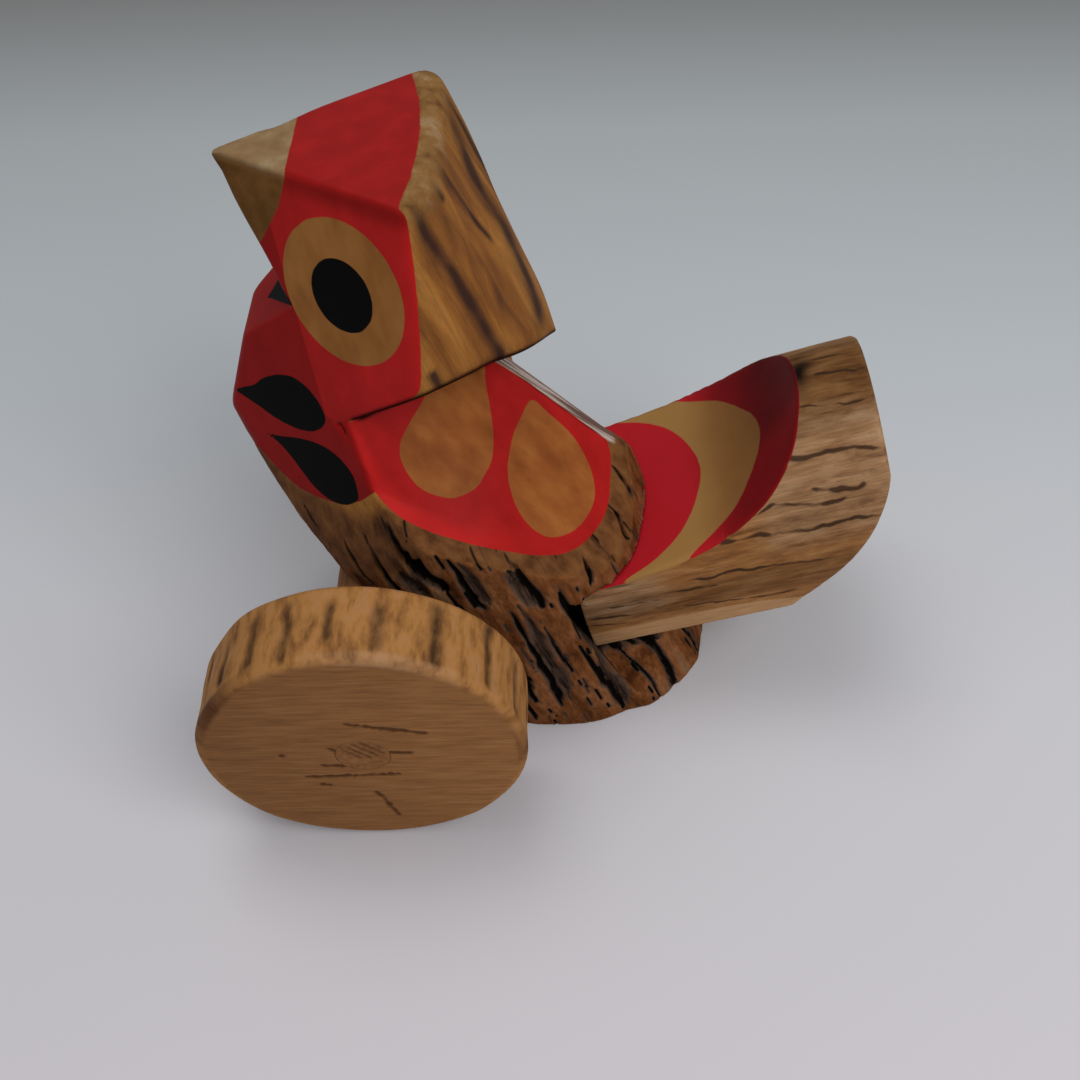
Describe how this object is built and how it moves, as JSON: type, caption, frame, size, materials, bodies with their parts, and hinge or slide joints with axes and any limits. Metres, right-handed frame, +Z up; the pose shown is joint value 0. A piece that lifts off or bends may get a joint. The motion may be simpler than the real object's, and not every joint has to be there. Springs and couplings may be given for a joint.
{
  "type": "wheeled bird toy",
  "caption": "Carved log bird with a scooped tail, rolling on branch-slice wheels fixed to one axle that turns in a bore through the leaning log.",
  "frame": {"origin": "middle of the toy's footprint box, on the ground", "axes": "+Z up; the bird faces -X, its tail points to +X and the wheel axis runs along Y"},
  "size_m": [0.1268, 0.1128, 0.1191],
  "materials": {
    "log_wood": "carved branch wood, bark left on below, painted flats above",
    "tail_wood": "stripped branch wood, painted scoop",
    "dowel_wood": "plain",
    "axle_wood": "oiled",
    "wheel_wood": "oiled, sawn faces and stripped rim"
  },
  "bodies": {
    "bird": {"body_log": "log_wood", "tail": "tail_wood", "tail_dowel": "dowel_wood"},
    "wheel_set": {"axle": "axle_wood", "wheel_left": "wheel_wood", "wheel_right": "wheel_wood"}
  },
  "joints": [
    {"name": "axle_spin", "type": "hinge", "parent": "bird", "child": "wheel_set", "pos_m": [-0.03342, 0, 0.03], "axis": [0, 1, 0], "continuous": true}
  ]
}
